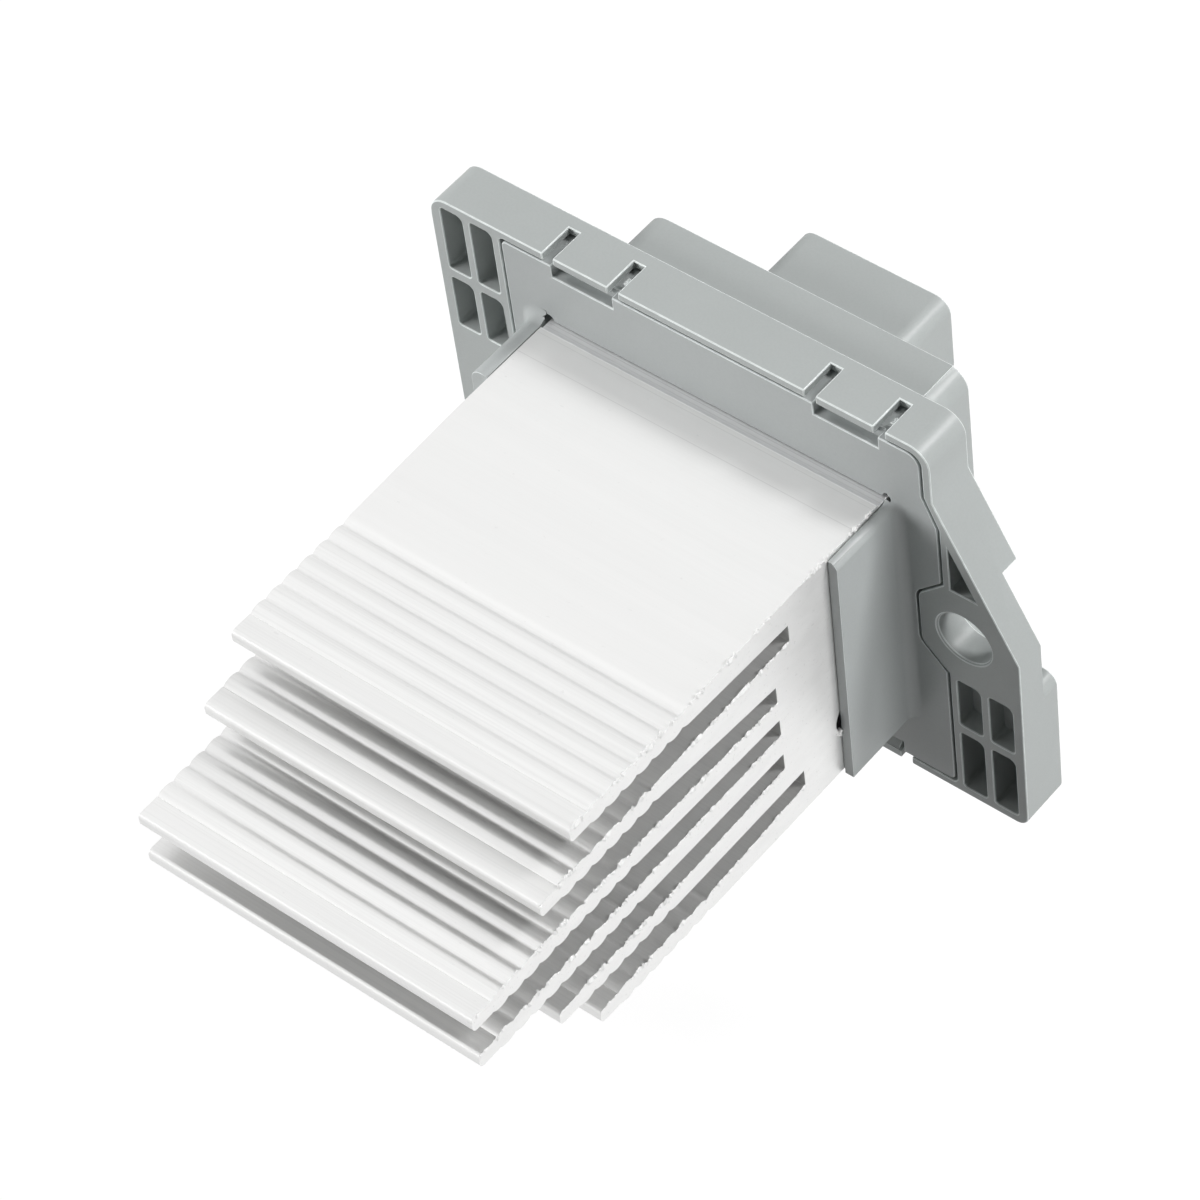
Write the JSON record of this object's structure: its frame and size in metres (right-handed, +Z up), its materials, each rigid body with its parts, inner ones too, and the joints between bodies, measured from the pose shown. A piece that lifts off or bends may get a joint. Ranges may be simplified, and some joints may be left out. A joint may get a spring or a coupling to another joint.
{
  "type": "blower motor resistor",
  "caption": "Blower speed resistor: ridged aluminium fin heat sink on a grey plastic flange with a fixing ear, rear electronics box and blade plug socket.",
  "frame": {"origin": "centre of the fixing hole, on the rear face of the ear that the screw head bears on", "axes": "+X along the flange from the heat sink towards the fixing ear, +Y from the fin tips towards the plug socket, square to the flange, +Z up along the flange's height, with the socket in the upper half"},
  "size_m": [0.1021, 0.122, 0.072],
  "materials": {
    "grey_plastic": "semi-matte moulded, fine grain",
    "grey_plastic_plate": "semi-matte moulded, fine grain",
    "bare_aluminium": "bare extrusion, bright, sawn ends",
    "zinc_steel": "zinc plated",
    "pad_rubber": "soft filled silicone",
    "tinned_copper": "tinned",
    "tinned_brass": "tinned",
    "epoxy_black": "moulded epoxy",
    "board_green": "lacquered glass-fibre laminate",
    "sleeve_dark": "shrunk sleeve on a can",
    "fuse_metal": "plated case",
    "shunt_alloy": "bare resistance alloy",
    "tan_ceramic": "fired ceramic"
  },
  "bodies": {
    "root": {"housing": "grey_plastic", "carrier_plate": "grey_plastic_plate", "heat_sink": "bare_aluminium", "sink_screws": "zinc_steel", "thermal_pad": "pad_rubber", "transistor_frame": "tinned_copper", "transistor_body": "epoxy_black", "transistor_screw": "zinc_steel", "circuit_board": "board_green", "board_screws": "zinc_steel", "supply_blade": "tinned_brass", "motor_blade": "tinned_brass", "ground_blade": "tinned_brass", "signal_blade": "tinned_brass", "capacitor_can": "sleeve_dark", "capacitor_leads": "tinned_copper", "surge_diode": "epoxy_black", "diode_leads": "tinned_copper", "thermal_fuse": "fuse_metal", "fuse_leads": "tinned_copper", "control_chip": "epoxy_black", "chip_legs": "tinned_copper", "shunt_strip": "shunt_alloy", "chip_resistors": "epoxy_black", "chip_capacitors": "tan_ceramic"}
  },
  "joints": []
}
